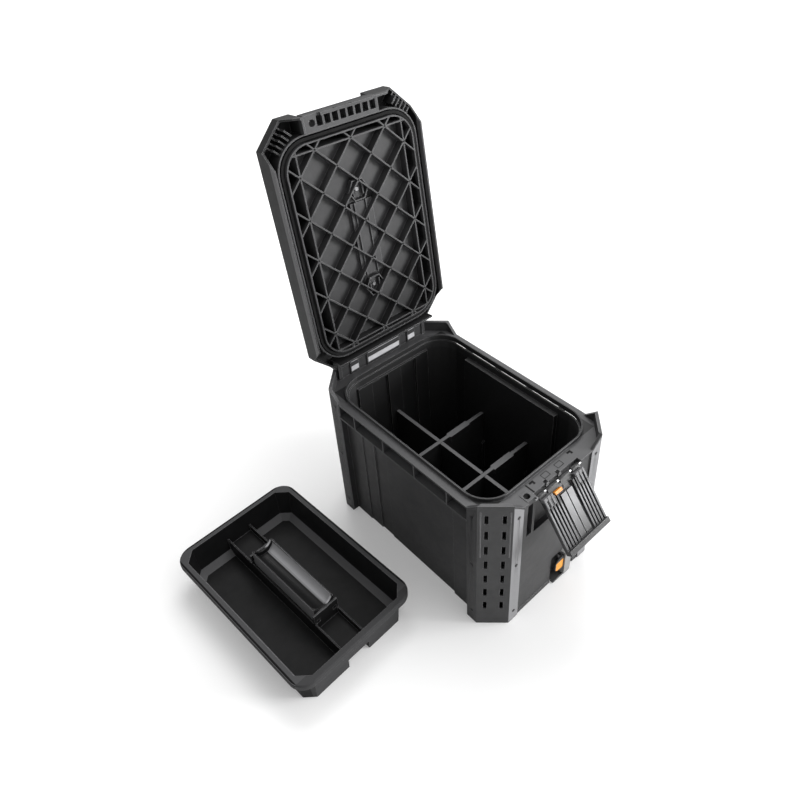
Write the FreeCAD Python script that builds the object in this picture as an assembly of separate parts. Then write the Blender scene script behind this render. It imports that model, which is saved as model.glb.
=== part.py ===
"""Stackable tool box: open lid, swung-out front latch, lift-out tray set down beside it.

Millimetres. X is the width, the latch faces -Y, the hinge is at +Y, Z is up and the floor is z = 0.
The origin is the centre of the box's footprint. The lid is drawn closed and then swung open, and the
latch is drawn closed and then swung out.
"""
import FreeCAD, Part
import math
import os

V = FreeCAD.Vector
ROOT2 = math.sqrt(2)

# Box envelope
WIDTH = 260.0
DEPTH = 400.0
SIDE = WIDTH / 2
FRONT = DEPTH / 2
CHAMFER = 35.0
DECK_Z = 256.4
DECK_T = 3.0
EAR_RISE = 19.4
SKIN = 3.0
RIB = 2.3

# Inner tub, a rounded rectangle in plan
TUB_HALF_X = SIDE - 18.5
TUB_HALF_Y = FRONT - 33.5
TUB_RADIUS = 40.0

# Sealing lip round the opening
LIP_HALF_X = TUB_HALF_X + 4.5
LIP_HALF_Y = TUB_HALF_Y + 3.5
LIP_RADIUS = TUB_RADIUS + 4.0
LIP_T = 2.6
LIP_RISE = 6.6

# Corner guards: bent slotted plates over the posts
GUARD_T = 2.2
GUARD_FLANGE = 20.7
GUARD_FOOT = 2.0
EAR_CAP = 4.0
SLOT_ROWS = 7
SLOT_W = 5.6
SLOT_H = 17.5
SLOT_COLUMN = 12.4
SLOT_FIRST_Z = 47.6
SLOT_PITCH = (DECK_Z - 8.4 - SLOT_FIRST_Z) / (SLOT_ROWS - 1)
BEAD_OFFSET = 20.6
BEAD_W = 1.4
BEAD_T = 0.6
BEAD_LOW_Z = DECK_Z - 90.4
BEAD_TOP_Z = DECK_Z + 7.6
WINDOW_HALF = 17.5
WINDOW_MARGIN = 6.0

# Guard screws
SCREW_R = 1.5
SCREW_LENGTH = 5.0
SCREW_HEAD_R = 2.7
SCREW_HEAD_T = 0.9
SCREW_CLEAR = 0.06
SCREW_HEIGHTS = (23.0, 138.0, DECK_Z - 12.4)

# Pocketed band under the deck on each side, and the steps of the side wall below it
BAND_Z = DECK_Z - 27.4
BAND_T = 3.0
BAND_RIBS = (-104.0, -35.0, 35.0, 104.0)
SIDE_PANEL = (-104.0, 50.0, 1.2)
SIDE_STRIP = (78.0, 106.0, 2.0)
SIDE_END_STEP = 3.5
STEP_ROOT = 9.0

# Inner shelves that carry the tray
SHELF_Z = DECK_Z - 15.4
SHELF_HALF_X = TUB_HALF_X - 8.5
SHELF_FRONT_Y = -104.0
SHELF_REAR_Y = 97.0
REAR_SHELF_Y = TUB_HALF_Y - 4.0
REAR_SHELF_HALF = 76.0
REAR_PAD_HALF = 14.0
REAR_PAD_X = (-62.0, 0.0, 62.0)

# Dividers
DIVIDER_T = 6.4
DIVIDER_TOP_Z = 147.0
DIVIDER_CLEAR = 0.5
CROSS_Y = {"front": -52.0, "rear": 52.0}
GRIP_STRIP_X = (20.0, 66.0)
GRIP_STRIP_T = 2.4
GRIP_STRIP_H = 13.0
GUIDE_W = 3.0
GUIDE_DEPTH = 6.5
GUIDE_TOP_Z = 82.0

# Front panel, latch recess and padlock eye
PANEL_Y = FRONT - 2.5
BASE_STRIP_H = 8.0
BASE_STRIP_T = 1.2
RECESS_HALF = 47.5
RECESS_LOW_Z = DECK_Z - 78.4
RECESS_Y = FRONT - 12.0
RECESS_OPEN_Y = FRONT - 8.0
EYE_X = -58.0
EYE_Y = 11.0 - FRONT
EYE_R = 5.0
EYE_BLOCK_HALF = 12.0
EYE_BLOCK_Y = FRONT - 22.0
EYE_PLATE_HALF = 7.2
EYE_PLATE_Y = FRONT - 19.0
EYE_PLATE_T = 10.0
EYE_PLATE_PROUD = 0.6
EYE_PLATE_GAP = 0.3
EYE_SLOT_HALF = 5.4
EYE_SLOT_Y = FRONT - 16.5
EYE_SLOT_LOW_Z = RECESS_LOW_Z + 3.0

# Hinge
HINGE_Y = FRONT - 4.45
HINGE_Z = DECK_Z + 27.6
ROD_R = 2.5
ROD_END_X = 92.0
LUG_R = 8.0
BARREL_R = 5.6
FIT = 0.06
LUGS = ((-89.6, 3.0), (-61.0, 8.4), (0.0, 35.0), (61.0, 8.4), (89.6, 3.0))
ARM_X = (-78.0, -44.0, 44.0, 78.0)
ARM_HALF = 8.0
ARM_CLEAR = 1.0
LID_OPEN = 97.68

# Lid, drawn closed
LID_LOW_Z = DECK_Z + 1.2
LID_RIB_Z = DECK_Z + 3.1
LID_TOP_Z = DECK_Z + 37.6
LID_REAR_Y = FRONT - 14.0
EAR_GAP = 2.7
GROOVE_HALF = 4.0
GROOVE_ROOF_Z = DECK_Z + 14.6
GROOVE_OUTER_Z = DECK_Z + 7.6
SEAL_HALF = 2.4
SEAL_LOW_Z = DECK_Z + 7.0
CELL_COLUMNS = 6
CELL_ROWS = 10
CELL_X = (LIP_HALF_X - 23.75) * 2 / CELL_COLUMNS
CELL_Y = (LIP_HALF_Y - 14.15) * 2 / CELL_ROWS
CELL_MID_Y = 1.95
COMB_X = (-15.0, -7.5, 0.0, 7.5, 15.0)
COMB_DEPTH = 21.0
COMB_Z = DECK_Z + 11.6

# Lid front flange that the latch teeth catch
CATCH_X = (-70.0, 52.0)
CATCH_FRONT = FRONT + 1.0
CATCH_BACK = FRONT - 23.0
CATCH_LOW_Z = DECK_Z + 1.6
CATCH_TOP_Z = DECK_Z + 16.6
CATCH_SKIRT_HALF = RECESS_HALF - 2.5
CATCH_SKIRT_Z = DECK_Z - 3.2
POCKETS = 8
POCKET_PITCH = 13.0
POCKET_W = 9.6
POCKET_Y = (3.0 - FRONT, 17.0 - FRONT)
POCKET_ROOF_Z = DECK_Z + 11.6
RELIEF_Y = FRONT - 18.0

# Well in the lid's top, with the carry handle, its lugs and a finger trough
WELL_HALF_X = CELL_X * CELL_COLUMNS / 2 - SKIN
WELL_HALF_Y = CELL_Y * CELL_ROWS / 2 - SKIN
WELL_FLOOR_Z = DECK_Z + 20.6
TROUGH_X = (-14.0, 20.0)
TROUGH_HALF_Y = 56.0
TROUGH_DEPTH = 5.5
HANDLE_X = -15.5
HANDLE_Y = 2.0
HANDLE_Z = DECK_Z + 27.6
HANDLE_REACH = 30.0
HANDLE_HALF_Y = 88.0
HANDLE_BAR = 9.0
HANDLE_LUG_GAP = 1.0
HANDLE_LUG_T = 9.0
HANDLE_LUG_HALF = 7.5
HANDLE_PIN_R = 2.5
PIN_BITE = 6.0
PAD_R = 15.0
PAD_LOW_Z = DECK_Z + 14.1
PAD_Y = (-76.0, 2.0, 82.0)
PAD_SCREW_R = 3.2
PAD_SCREW_T = 1.6
PAD_SHANK_R = 1.8
PAD_SHANK = 6.0

# Front latch, drawn closed
LATCH_OUT = 38.0
LATCH_Y = 3.0 - FRONT
LATCH_Z = DECK_Z - 7.4
LATCH_PIN_R = 2.2
LATCH_BARREL_R = 3.6
LATCH_PIN_END = 50.0
LATCH_HALF = 44.0
LATCH_END_Z = LATCH_Z - 95.0
LATCH_BACK_Y = LATCH_Y - 1.5
LATCH_TOP_FACE_Y = LATCH_Y - LATCH_BARREL_R
LATCH_END_FACE_Y = LATCH_Y - 7.0
LATCH_RIB_Y = LATCH_Y - 9.2
LATCH_RIB_Z = (LATCH_END_Z + 6.0, LATCH_Z - 9.0)
LATCH_RIB_X = (18.0, 24.0, 30.0, 36.0, 42.3)
LATCH_RIB_T = 3.4
LATCH_PAD_X = (0.9, 12.0)
LATCH_PAD_Y = LATCH_Y - 7.8
LATCH_PAD_Z = (LATCH_END_Z + 6.0, LATCH_Z - 16.0)
LATCH_LIP_Y = LATCH_Y - 13.5
LATCH_LIP_Z = LATCH_END_Z + 8.0
KNUCKLES = ((-44.0, -31.0), (-26.0, -4.0), (1.0, 23.5), (28.5, 44.0))
TOOTH_X = (-19.5, 6.5)
TOOTH_W = 5.0
TOOTH_Y = (LATCH_Y + 0.5, LATCH_Y + 3.5)
TOOTH_TOP_Z = LATCH_Z + 9.4
TOOTH_NOSE_Y = LATCH_Y - 3.2
TOOTH_NOSE_Z = LATCH_Z + 6.8
TOOTH_PLAY = 0.7
TOOTH_CHANNEL_Y = LATCH_Y + 10.6
TOOTH_CHANNEL_Z = LATCH_Z - 6.0

# Orange latch lock, which slides sideways in the flap
LOCK_X = (-19.7, -4.7)
LOCK_Z = (LATCH_Z - 11.6, LATCH_Z - 7.0)
LOCK_Y = (LATCH_Y - 8.0, LATCH_Y - 3.2)
LOCK_TRAVEL = 6.0
LOCK_CLEAR = 0.4

# Stacking lock at the foot of the front
STACK_RECESS_X = (5.0, 62.0)
STACK_RECESS_Y = FRONT - 14.0
STACK_RECESS_TOP_Z = 62.0
LEVER_X = (30.5, 45.5)
LEVER_Y = (-6.5 - FRONT, 5.5 - FRONT)
LEVER_Z = (5.0, 58.0)
LEVER_PIN_Y = 7.0 - FRONT
LEVER_PIN_Z = 53.0
LEVER_PIN_R = 1.8
LEVER_BARREL_R = 4.0
TAB_LEFT_X = 9.0
TAB_Y = (-4.0 - FRONT, -0.5 - FRONT)
TAB_Z = (26.0, 54.0)
TAB_ROUND = 10.0
STACK_CLEAR = 0.5
SILL_X = (8.0, 38.0)
SILL_Y = FRONT + 3.5
SILL_Z = 4.0
LEAF_HALF = 4.0
LEAF_T = 0.9
LEAF_Z = (12.0, 38.0)

# Lift-out tray, standing on the floor beside the box
TRAY_X = -SIDE - 171.1
TRAY_Y = 68.0
TRAY_TURN = 3.34
RIM_HALF_X = TUB_HALF_X - 4.7
RIM_HALF_Y = TUB_HALF_Y - 4.2
RIM_RADIUS = 26.0
RIM_ROUND = 2.6
TRAY_TOP_Z = 63.8
RIM_LOW_Z = TRAY_TOP_Z - 10.8
TRAY_WALL = 2.4
MOUTH = (RIM_HALF_X - 10.3, RIM_HALF_Y - 10.2, 17.2)
BASE = (RIM_HALF_X - 13.1, RIM_HALF_Y - 11.9, 14.6)
TRAY_FLOOR = 3.0
FLOOR_BEVEL = 10.0
CHANNEL_HALF = 22.0
CHANNEL_Z = 22.0
RAIL_Z = 35.0
PIER_Y = 78.0
PIER_T = 3.0
PIER_Z = TRAY_TOP_Z - 7.8

# Tray grip, a trough-shaped bar clipped between the piers
GRIP_HALF_X = 18.5
GRIP_TOP_Z = TRAY_TOP_Z + 0.7
GRIP_LOW_Z = TRAY_TOP_Z - 29.8
GRIP_CLEAR = 0.4
GRIP_HOLLOW_R = GRIP_HALF_X - 1.7
GRIP_HOLLOW_Z = GRIP_TOP_Z - 1.5
GRIP_END_T = 4.0
GRIP_SCOOP_Z = GRIP_TOP_Z + 7.5
GRIP_TAB = 6.0

EAR_Z = DECK_Z + EAR_RISE
LIP_TOP_Z = DECK_Z + LIP_RISE
POST_Y = DEPTH / 2 - CHAMFER - GUARD_FLANGE
POST_X = WIDTH / 2 - CHAMFER - GUARD_FLANGE
REAR_HALF = WIDTH / 2 - CHAMFER
CORNERS = {"front_left": (-1, -1), "front_right": (1, -1), "rear_left": (-1, 1), "rear_right": (1, 1)}


def block(x0, x1, y0, y1, z0, z1):
    """Box between two corners, given in any order."""
    low = V(min(x0, x1), min(y0, y1), min(z0, z1))
    return Part.makeBox(abs(x1 - x0), abs(y1 - y0), abs(z1 - z0), low)


def prism(points, z0, z1):
    """Upright prism on a polygon of (x, y) points."""
    wire = Part.makePolygon([V(x, y, z0) for x, y in points + points[:1]])
    return Part.Face(wire).extrude(V(0, 0, z1 - z0))


def side_prism(points, x0, x1):
    """Prism along X on a polygon of (y, z) points."""
    wire = Part.makePolygon([V(x0, y, z) for y, z in points + points[:1]])
    return Part.Face(wire).extrude(V(x1 - x0, 0, 0))


def front_prism(points, y0, y1):
    """Prism along Y on a polygon of (x, z) points."""
    wire = Part.makePolygon([V(x, y0, z) for x, z in points + points[:1]])
    return Part.Face(wire).extrude(V(0, y1 - y0, 0))


def rounded(half_x, half_y, radius, z0, z1):
    """Upright prism on a rounded rectangle centred on the origin."""
    solid = block(-half_x, half_x, -half_y, half_y, z0, z1)
    upright = [e for e in solid.Edges if abs(e.Vertexes[0].Z - e.Vertexes[-1].Z) > (z1 - z0) / 2]
    return solid.makeFillet(radius, upright)


def ring(half_x, half_y, radius, inner, outer, z0, z1):
    """Wall that runs round a rounded rectangle, between two offsets from it."""
    shell = rounded(half_x + outer, half_y + outer, radius + outer, z0, z1)
    return shell.cut(rounded(half_x + inner, half_y + inner, radius + inner, z0, z1))


def octagon(half_x, half_y, corner):
    """Corner points of a rectangle with its corners cut off."""
    near_x, near_y = half_x - corner, half_y - corner
    return [(half_x, -near_y), (half_x, near_y), (near_x, half_y), (-near_x, half_y),
            (-half_x, near_y), (-half_x, -near_y), (-near_x, -half_y), (near_x, -half_y)]


def loft(low, z_low, high, z_high):
    """Straight-sided solid between two octagons, each given as half sizes and corner cut."""
    wires = []
    for sizes, z in ((low, z_low), (high, z_high)):
        points = octagon(*sizes)
        wires.append(Part.makePolygon([V(x, y, z) for x, y in points + points[:1]]))
    return Part.makeLoft(wires, True, True)


def rod(x0, x1, y, z, radius):
    """Cylinder along X."""
    return Part.makeCylinder(radius, x1 - x0, V(x0, y, z), V(1, 0, 0))


def fuse(shapes):
    """One solid from touching shapes."""
    return shapes[0].multiFuse(shapes[1:]).removeSplitter()


def write(name, shape):
    """One STEP file for each sub-part."""
    shape.exportStep("parts/" + name + ".step")
    print(name, len(shape.Solids), "solids", round(shape.Volume / 1000.0, 2), "cm3", shape.isValid())


def guard_line(inset):
    """One corner in plan, from the end of its side flange to the end of its front flange."""
    slip = inset * (ROOT2 - 1)
    x, y = WIDTH / 2 - inset, DEPTH / 2 - inset
    return [(x, POST_Y), (x, DEPTH / 2 - CHAMFER - slip), (WIDTH / 2 - CHAMFER - slip, y), (POST_X, y)]


def guard_band(inset, thick, z0, z1, sx, sy):
    """Bent wall round one corner, from one inset to a deeper one."""
    points = guard_line(inset) + guard_line(inset + thick)[::-1]
    return prism([(sx * x, sy * y) for x, y in points], z0, z1)


def corner_slab(along, width, depth, z0, z1, sx, sy):
    """Block square to a corner's chamfer, centred on its face."""
    slab = block(along - width / 2, along + width / 2, -depth, depth, z0, z1)
    slab.rotate(V(0, 0, 0), V(0, 0, 1), math.degrees(math.atan2(sx, -sy)))
    slab.translate(V(sx * (WIDTH - CHAMFER) / 2, sy * (DEPTH - CHAMFER) / 2, 0))
    return slab


def over_slopes(z_low, z_high, sx, sy):
    """What lies over the sloping tops of a corner's two flanges."""
    side_y, front_x = DEPTH / 2 - CHAMFER, WIDTH / 2 - CHAMFER
    under = 2 * z_low - z_high
    side = [(sy * (POST_Y - GUARD_FLANGE), under), (sy * side_y, z_high), (sy * side_y, DEPTH),
            (sy * (POST_Y - GUARD_FLANGE), DEPTH)]
    front = [(sx * (POST_X - GUARD_FLANGE), under), (sx * front_x, z_high), (sx * front_x, DEPTH),
             (sx * (POST_X - GUARD_FLANGE), DEPTH)]
    return [side_prism(side, sx * (WIDTH / 2 - CHAMFER / 2), sx * WIDTH),
            front_prism(front, sy * (DEPTH / 2 - CHAMFER / 2), sy * DEPTH)]


def screw_places(sx, sy):
    """Point on the outer face and outward direction of each guard screw of one corner."""
    places = []
    for z in SCREW_HEIGHTS:
        places.append((V(sx * WIDTH / 2, sy * (POST_Y + GUARD_FLANGE / 2), z), V(sx, 0, 0)))
        places.append((V(sx * (POST_X + GUARD_FLANGE / 2), sy * DEPTH / 2, z), V(0, sy, 0)))
    return places


def screw_holes(sx, sy):
    """Clearance holes for the guard screws of one corner."""
    length = GUARD_T + 2 * SKIN
    return [Part.makeCylinder(SCREW_R + SCREW_CLEAR, 2 * length, point + out * length, out * -1)
            for point, out in screw_places(sx, sy)]


def corner_guard(sx, sy):
    """Slotted corner plate with its two screw flanges and raised beads."""
    top = EAR_Z - EAR_CAP
    plate = guard_band(0, GUARD_T, GUARD_FOOT, top, sx, sy)
    beads = [corner_slab(side * BEAD_OFFSET, BEAD_W, BEAD_T, BEAD_LOW_Z, BEAD_TOP_Z, sx, sy)
             for side in (-1, 1)]
    tools = over_slopes(DECK_Z - EAR_CAP, top, sx, sy) + screw_holes(sx, sy)
    for row in range(SLOT_ROWS):
        low = SLOT_FIRST_Z + row * SLOT_PITCH - SLOT_H / 2
        for side in (-1, 1):
            tools.append(corner_slab(side * SLOT_COLUMN, SLOT_W, CHAMFER, low, low + SLOT_H, sx, sy))
    return fuse([plate] + beads).cut(tools)


def guard_screws():
    """All the guard screws, as separate solids of one group."""
    screws = []
    for sx, sy in CORNERS.values():
        for point, out in screw_places(sx, sy):
            shank = Part.makeCylinder(SCREW_R, SCREW_LENGTH, point, out * -1)
            head = Part.makeCylinder(SCREW_HEAD_R, SCREW_HEAD_T, point, out)
            screws.append(fuse([shank, head]))
    return Part.makeCompound(screws)


def box_corner(sx, sy):
    """Post and ear of one corner, with the two returns that tie it to the tub."""
    whole = guard_band(0, GUARD_T + SKIN, 0, EAR_Z, sx, sy).cut(over_slopes(DECK_Z, EAR_Z, sx, sy))
    seat = guard_band(-SKIN, SKIN + GUARD_T, GUARD_FOOT, EAR_Z - EAR_CAP, sx, sy)
    seat = seat.cut(over_slopes(DECK_Z - EAR_CAP, EAR_Z - EAR_CAP, sx, sy))
    sill = SLOT_FIRST_Z - SLOT_H / 2 - WINDOW_MARGIN
    window = corner_slab(0, 2 * WINDOW_HALF, CHAMFER / 2, sill, DECK_Z - DECK_T, sx, sy)
    side = block(sx * SHELF_HALF_X, sx * (WIDTH / 2 - GUARD_T), sy * POST_Y, sy * (POST_Y + SKIN), 0, DECK_Z)
    front = block(sx * POST_X, sx * (POST_X + SKIN), sy * REAR_SHELF_Y, sy * (DEPTH / 2 - GUARD_T),
                  0, DECK_Z)
    plan = guard_line(GUARD_T) + [(POST_X, TUB_HALF_Y), (TUB_HALF_X, POST_Y)]
    base = prism([(sx * x, sy * y) for x, y in plan], 0, SKIN)
    return [whole.cut([window]), side, front, base], seat


def side_structure(side):
    """Pocketed band and stepped wall of one side."""
    root = TUB_HALF_X + SKIN - STEP_ROOT
    pieces = [block(side * root, side * WIDTH / 2, -POST_Y, POST_Y, BAND_Z - BAND_T, BAND_Z)]
    for y in BAND_RIBS:
        y0, y1 = y - RIB / 2, y + RIB / 2
        pieces.append(block(side * root, side * WIDTH / 2, y0, y1, BAND_Z - BAND_T, DECK_Z))
    front_end = (-POST_Y, SIDE_PANEL[0], SIDE_END_STEP)
    rear_end = (SIDE_STRIP[1], POST_Y, SIDE_END_STEP)
    for y0, y1, step in (front_end, SIDE_PANEL, SIDE_STRIP, rear_end):
        pieces.append(block(side * root, side * (TUB_HALF_X + SKIN + step), y0, y1, 0, BAND_Z))
    return pieces


def front_structure():
    """Front and rear panels with the blocks behind the latch, the padlock eye and the stacking lock."""
    x = POST_X + SKIN
    tub_y = TUB_HALF_Y + SKIN / 2
    strip_x = POST_X - EYE_PLATE_GAP
    pieces = [block(-x, x, side * PANEL_Y, side * (PANEL_Y - SKIN), 0, DECK_Z) for side in (-1, 1)]
    pieces += [block(-strip_x, strip_x, side * (PANEL_Y + BASE_STRIP_T), side * (PANEL_Y - SKIN),
                     0, BASE_STRIP_H) for side in (-1, 1)]
    recess = RECESS_HALF + SKIN
    pieces.append(block(-recess, recess, -PANEL_Y, 2 * SKIN - RECESS_Y, RECESS_LOW_Z - SKIN, DECK_Z))
    pieces.append(block(EYE_X - EYE_BLOCK_HALF, EYE_X + EYE_BLOCK_HALF, -PANEL_Y, -EYE_BLOCK_Y,
                        RECESS_LOW_Z, DECK_Z))
    pieces.append(block(STACK_RECESS_X[0] - SKIN, STACK_RECESS_X[1] + SKIN, -PANEL_Y, SKIN - STACK_RECESS_Y,
                        0, STACK_RECESS_TOP_Z + SKIN))
    for y0, y1 in ((-PANEL_Y + SKIN / 2, -tub_y), (tub_y, PANEL_Y - SKIN / 2)):
        for rib_x in (-RECESS_HALF - SKIN, RECESS_HALF):
            pieces.append(block(rib_x, rib_x + SKIN, y0, y1, 0, RECESS_LOW_Z))
    return pieces


def front_cuts():
    """Latch recess, padlock eye, tooth channels and stacking lock recess."""
    tools = [block(-RECESS_HALF, RECESS_HALF, -DEPTH, -RECESS_Y, RECESS_LOW_Z, DECK_Z - DECK_T)]
    tools.append(block(-RECESS_HALF, RECESS_HALF, -DEPTH, -RECESS_OPEN_Y, RECESS_LOW_Z, LIP_TOP_Z))
    tools.append(block(EYE_X - EYE_SLOT_HALF, EYE_X + EYE_SLOT_HALF, -DEPTH, -EYE_SLOT_Y,
                       EYE_SLOT_LOW_Z, DECK_Z))
    seat = EYE_PLATE_HALF + EYE_PLATE_GAP
    tools.append(block(EYE_X - seat, EYE_X + seat, -DEPTH, EYE_PLATE_GAP - EYE_PLATE_Y,
                       DECK_Z - EYE_PLATE_T, LIP_TOP_Z))
    for x in TOOTH_X:
        half = TOOTH_W / 2 + TOOTH_PLAY
        tools.append(block(x - half, x + half, -DEPTH, TOOTH_CHANNEL_Y, TOOTH_CHANNEL_Z, DECK_Z + SKIN))
    tools.append(rod(-LATCH_PIN_END, LATCH_PIN_END, LATCH_Y, LATCH_Z, LATCH_PIN_R + FIT))
    tools.append(block(*STACK_RECESS_X, -DEPTH, -STACK_RECESS_Y, -SKIN, STACK_RECESS_TOP_Z))
    return tools


def padlock_plate():
    """Plate let into the ledge beside the latch, bored for a padlock's shackle."""
    low, high = DECK_Z - EYE_PLATE_T, DECK_Z + EYE_PLATE_PROUD
    plate = block(EYE_X - EYE_PLATE_HALF, EYE_X + EYE_PLATE_HALF, -PANEL_Y, -EYE_PLATE_Y, low, high)
    return plate.cut(Part.makeCylinder(EYE_R, high - low, V(EYE_X, EYE_Y, low)))


def stack_lock_seat():
    """Sill and two pin lugs in the stacking lock's recess."""
    pieces = [block(*SILL_X, -SILL_Y, SKIN / 2 - STACK_RECESS_Y, 0, SILL_Z)]
    for x, side in zip(LEVER_X, (-1, 1)):
        near = x + side * STACK_CLEAR
        pieces.append(block(near, near + side * SKIN, -PANEL_Y, SKIN / 2 - STACK_RECESS_Y,
                            LEVER_PIN_Z - LEVER_BARREL_R, STACK_RECESS_TOP_Z + SKIN / 2))
    return pieces


def tray_shelves():
    """Stepped inner pads on the side and rear walls whose tops carry the tray, and their hollows."""
    pads, hollows = [], []
    roof = SHELF_Z - SKIN
    for side in (-1, 1):
        pads.append(block(side * SHELF_HALF_X, side * (TUB_HALF_X + SKIN / 2), SHELF_FRONT_Y, SHELF_REAR_Y,
                          0, SHELF_Z))
        hollows.append(block(side * (SHELF_HALF_X + SKIN), side * TUB_HALF_X, SHELF_FRONT_Y + SKIN,
                             SHELF_REAR_Y - SKIN, -SKIN, roof))
    for x in REAR_PAD_X:
        x0, x1 = x - REAR_PAD_HALF, x + REAR_PAD_HALF
        pads.append(block(x0, x1, REAR_SHELF_Y, TUB_HALF_Y + SKIN / 2, 0, SHELF_Z))
        hollows.append(block(x0 + SKIN, x1 - SKIN, REAR_SHELF_Y + SKIN, TUB_HALF_Y + SKIN, -SKIN, roof))
    pads.append(block(-REAR_SHELF_HALF, REAR_SHELF_HALF, REAR_SHELF_Y, TUB_HALF_Y + SKIN / 2, roof, SHELF_Z))
    return pads, hollows


def divider_guides():
    """Pairs of ramped ribs on the side walls that hold the ends of the cross dividers."""
    guides = []
    half = DIVIDER_T / 2 + DIVIDER_CLEAR
    for side in (-1, 1):
        wall = side * (SHELF_HALF_X + SKIN / 2)
        tip = side * (SHELF_HALF_X - GUIDE_DEPTH)
        profile = [(wall, SKIN / 2), (tip, SKIN / 2), (tip, GUIDE_TOP_Z - GUIDE_DEPTH), (wall, GUIDE_TOP_Z)]
        for y in CROSS_Y.values():
            guides.append(front_prism(profile, y - half - GUIDE_W, y - half))
            guides.append(front_prism(profile, y + half, y + half + GUIDE_W))
    return guides


def hinge_lugs():
    """Barrels that stand on the rear of the deck, and the low walls under the lid's arms."""
    lugs = []
    for x, half in LUGS:
        lugs.append(rod(x - half, x + half, HINGE_Y, HINGE_Z, LUG_R))
        lugs.append(block(x - half, x + half, HINGE_Y - LUG_R, FRONT, DECK_Z - DECK_T, HINGE_Z))
    end = LUGS[-1][0]
    wall_top = HINGE_Z - BARREL_R - ARM_CLEAR
    lugs.append(block(-end, end, HINGE_Y - BARREL_R, FRONT, DECK_Z - DECK_T, wall_top))
    return lugs


def box_shell():
    """The box itself, in one moulding."""
    deck = prism(octagon(WIDTH / 2, DEPTH / 2, CHAMFER), DECK_Z - DECK_T, DECK_Z)
    tub = rounded(TUB_HALF_X + SKIN, TUB_HALF_Y + SKIN, TUB_RADIUS + SKIN, 0, DECK_Z)
    lip = ring(LIP_HALF_X, LIP_HALF_Y, LIP_RADIUS, -LIP_T / 2, LIP_T / 2, DECK_Z - DECK_T, LIP_TOP_Z)
    pieces = [deck, tub, lip] + front_structure() + hinge_lugs()
    seats = []
    for sx, sy in CORNERS.values():
        corner_pieces, seat = box_corner(sx, sy)
        pieces += corner_pieces
        seats.append(seat)
    for side in (-1, 1):
        pieces += side_structure(side)
    outside = fuse(pieces).cut(front_cuts() + seats)
    cavity = rounded(TUB_HALF_X, TUB_HALF_Y, TUB_RADIUS, SKIN, EAR_Z)
    lip_in = LIP_T / 2
    mouth = rounded(LIP_HALF_X - lip_in, LIP_HALF_Y - lip_in, LIP_RADIUS - lip_in, DECK_Z - DECK_T, EAR_Z)
    pads, hollows = tray_shelves()
    whole = fuse([outside.cut([cavity, mouth])] + pads + divider_guides() + stack_lock_seat())
    holes = [rod(-ROD_END_X, ROD_END_X, HINGE_Y, HINGE_Z, ROD_R + FIT)]
    lug = SKIN + STACK_CLEAR
    holes.append(rod(LEVER_X[0] - lug, LEVER_X[1] + lug, LEVER_PIN_Y, LEVER_PIN_Z, LEVER_PIN_R + FIT))
    for sx, sy in CORNERS.values():
        holes += screw_holes(sx, sy)
    return whole.cut(hollows + holes)


def long_divider():
    """Lengthwise divider, slotted from above for the cross dividers."""
    half = DIVIDER_T / 2 + DIVIDER_CLEAR
    plate = block(-DIVIDER_T / 2, DIVIDER_T / 2, DIVIDER_CLEAR - TUB_HALF_Y, REAR_SHELF_Y - DIVIDER_CLEAR,
                  SKIN, DIVIDER_TOP_Z)
    lap_z = (SKIN + DIVIDER_TOP_Z) / 2
    return plate.cut([block(-DIVIDER_T, DIVIDER_T, y - half, y + half, lap_z, DIVIDER_TOP_Z + SKIN)
                      for y in CROSS_Y.values()])


def cross_divider(y):
    """Crosswise divider, slotted from below, with a thicker strip to hold it by."""
    end = SHELF_HALF_X - DIVIDER_CLEAR
    plate = block(-end, end, y - DIVIDER_T / 2, y + DIVIDER_T / 2, SKIN, DIVIDER_TOP_Z)
    thick = DIVIDER_T / 2 + GRIP_STRIP_T
    strip = block(*GRIP_STRIP_X, y - thick, y + thick, DIVIDER_TOP_Z - GRIP_STRIP_H, DIVIDER_TOP_Z)
    half = DIVIDER_T / 2 + DIVIDER_CLEAR
    lap_z = (SKIN + DIVIDER_TOP_Z) / 2 + DIVIDER_CLEAR
    return fuse([plate, strip]).cut(block(-half, half, y - thick, y + thick, 0, lap_z))


def open_lid(shape):
    """Swing something drawn with the lid closed to where it is with the lid open."""
    shape.rotate(V(0, HINGE_Y, HINGE_Z), V(1, 0, 0), -LID_OPEN)
    return shape


def lid_lattice(room):
    """Diagonal and straight stiffening ribs inside the sealing ring."""
    first_y = CELL_MID_Y - CELL_Y * CELL_ROWS / 2
    first_x = -CELL_X * CELL_COLUMNS / 2
    length = WIDTH + DEPTH
    tall = LID_TOP_Z - LID_RIB_Z - SKIN / 2
    ribs = []
    for slope in (-1, 1):
        turn = math.degrees(math.atan2(CELL_Y, slope * CELL_X))
        lines = range(1, CELL_COLUMNS + CELL_ROWS, 2) if slope < 0 else range(1 - CELL_ROWS, CELL_COLUMNS, 2)
        for line in lines:
            rib = Part.makeBox(2 * length, RIB, tall, V(-length, -RIB / 2, LID_RIB_Z))
            rib.rotate(V(0, 0, 0), V(0, 0, 1), turn)
            rib.translate(V(first_x + line * CELL_X, first_y, 0))
            ribs.append(rib)
    for x in (first_x, -first_x):
        ribs.append(block(x - RIB / 2, x + RIB / 2, -DEPTH, DEPTH, LID_RIB_Z, LID_RIB_Z + tall))
    for y in (first_y, first_y + CELL_Y * CELL_ROWS):
        ribs.append(block(-WIDTH, WIDTH, y - RIB / 2, y + RIB / 2, LID_RIB_Z, LID_RIB_Z + tall))
    return [rib.common(room) for rib in ribs]


def lid_combs(outside, ring_outer):
    """Short ribs square to the chamfer in the two front corners, outside the sealing ring."""
    room = outside.cut(ring_outer)
    roof = LID_TOP_Z - SKIN / 2
    return [corner_slab(along, RIB, COMB_DEPTH, COMB_Z, roof, sx, -1).common(room)
            for sx in (-1, 1) for along in COMB_X]


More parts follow.
